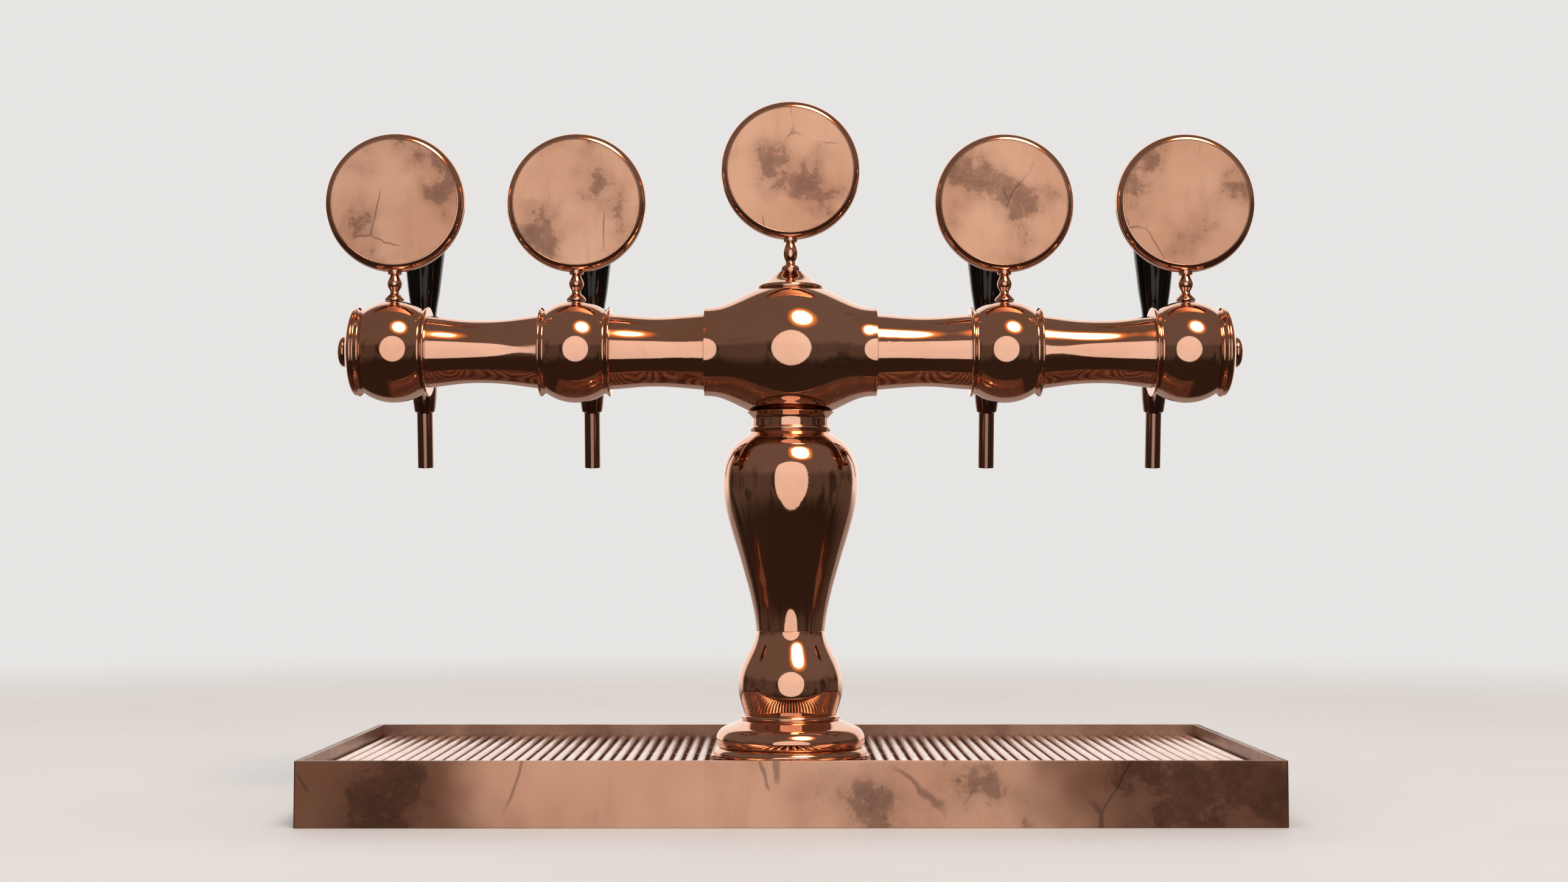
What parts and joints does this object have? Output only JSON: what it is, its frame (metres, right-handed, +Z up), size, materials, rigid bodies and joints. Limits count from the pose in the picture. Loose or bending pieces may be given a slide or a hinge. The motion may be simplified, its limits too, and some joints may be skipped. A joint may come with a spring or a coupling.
{
  "type": "beer tap tower",
  "caption": "Copper T-shaped beer tap tower with round medallions over a horizontal bar, rear taps with black lever handles, and a wide drip tray with a rod grille.",
  "frame": {"origin": "centre of the drip tray's footprint, on the counter", "axes": "+X along the bar, to the right as the customer sees it; +Y from the customer's side to the taps; +Z up"},
  "size_m": [0.7096, 0.33, 0.5383],
  "materials": {
    "polished_copper": "polished copper plate with light handling marks",
    "aged_copper": "matte aged copper with grey-brown stains",
    "medallion_face": "matte aged copper with blotches and fine veins",
    "grille_copper": "satin copper rod",
    "tray_steel": "brushed",
    "inner_brass": "machined",
    "lever_metal": "polished copper plate",
    "handle_black": "gloss black",
    "fastener_steel": "plain",
    "gasket_rubber": "matte",
    "line_hose": "satin"
  },
  "bodies": {
    "tower": {"base_flange": "polished_copper", "base_bell": "polished_copper", "column_bulb": "polished_copper", "column_vase": "polished_copper", "neck_collar": "polished_copper", "hub": "polished_copper", "hub_cap": "polished_copper", "arm_inner_left": "polished_copper", "arm_inner_right": "polished_copper", "arm_outer_left": "polished_copper", "arm_outer_right": "polished_copper", "tap_ball_1": "polished_copper", "tap_ball_2": "polished_copper", "tap_ball_3": "polished_copper", "tap_ball_4": "polished_copper", "end_cap_left": "polished_copper", "end_cap_right": "polished_copper", "end_buttons": "polished_copper", "medallion_cup_1": "polished_copper", "medallion_cup_2": "polished_copper", "medallion_cup_3": "polished_copper", "medallion_cup_4": "polished_copper", "medallion_cup_5": "polished_copper", "medallion_stems": "polished_copper", "tap_body_1": "polished_copper", "tap_body_2": "polished_copper", "tap_body_3": "polished_copper", "tap_body_4": "polished_copper", "tap_spouts": "polished_copper", "tap_shanks": "polished_copper", "coupling_nuts": "polished_copper", "tap_bonnets": "polished_copper", "tray_apron": "aged_copper", "medallion_faces": "medallion_face", "drip_pan": "tray_steel", "drain_body": "tray_steel", "drain_nut": "tray_steel", "drain_strainer": "tray_steel", "pedestal": "inner_brass", "core_tube": "inner_brass", "bar_tubes": "inner_brass", "shank_locknuts": "inner_brass", "base_screws": "fastener_steel", "pedestal_gasket": "gasket_rubber", "beer_lines": "line_hose"},
    "lever_1": {"tap_lever_1": "lever_metal", "tap_handle_1": "handle_black"},
    "plunger_1": {"tap_plunger_1": "inner_brass"},
    "lever_2": {"tap_lever_2": "lever_metal", "tap_handle_2": "handle_black"},
    "plunger_2": {"tap_plunger_2": "inner_brass"},
    "lever_3": {"tap_lever_3": "lever_metal", "tap_handle_3": "handle_black"},
    "plunger_3": {"tap_plunger_3": "inner_brass"},
    "lever_4": {"tap_lever_4": "lever_metal", "tap_handle_4": "handle_black"},
    "plunger_4": {"tap_plunger_4": "inner_brass"},
    "grille_l": {"grille_left": "grille_copper"},
    "grille_r": {"grille_right": "grille_copper"}
  },
  "joints": [
    {"name": "lever_1_swing", "type": "hinge", "parent": "tower", "child": "lever_1", "pos_m": [-0.3015, 0.083, 0.362], "axis": [-1, 0, 0], "range_deg": [0, 30]},
    {"name": "plunger_1_travel", "type": "slide", "parent": "tower", "child": "plunger_1", "axis": [0, -1, 0], "range_m": [0, 0.0061]},
    {"name": "lever_2_swing", "type": "hinge", "parent": "tower", "child": "lever_2", "pos_m": [-0.1632, 0.083, 0.362], "axis": [-1, 0, 0], "range_deg": [0, 30]},
    {"name": "plunger_2_travel", "type": "slide", "parent": "tower", "child": "plunger_2", "axis": [0, -1, 0], "range_m": [0, 0.0061]},
    {"name": "lever_3_swing", "type": "hinge", "parent": "tower", "child": "lever_3", "pos_m": [0.1632, 0.083, 0.362], "axis": [-1, 0, 0], "range_deg": [0, 30]},
    {"name": "plunger_3_travel", "type": "slide", "parent": "tower", "child": "plunger_3", "axis": [0, -1, 0], "range_m": [0, 0.0061]},
    {"name": "lever_4_swing", "type": "hinge", "parent": "tower", "child": "lever_4", "pos_m": [0.3015, 0.083, 0.362], "axis": [-1, 0, 0], "range_deg": [0, 30]},
    {"name": "plunger_4_travel", "type": "slide", "parent": "tower", "child": "plunger_4", "axis": [0, -1, 0], "range_m": [0, 0.0061]},
    {"name": "grille_left_lift", "type": "slide", "parent": "tower", "child": "grille_l", "axis": [0, 0, 1], "range_m": [0, 0.06]},
    {"name": "grille_right_lift", "type": "slide", "parent": "tower", "child": "grille_r", "axis": [0, 0, 1], "range_m": [0, 0.06]}
  ],
  "couplings": [
    {"joint": "plunger_1_travel", "follows": "lever_1_swing", "m_per_rad": 0.0114},
    {"joint": "plunger_2_travel", "follows": "lever_2_swing", "m_per_rad": 0.0114},
    {"joint": "plunger_3_travel", "follows": "lever_3_swing", "m_per_rad": 0.0114},
    {"joint": "plunger_4_travel", "follows": "lever_4_swing", "m_per_rad": 0.0114}
  ]
}
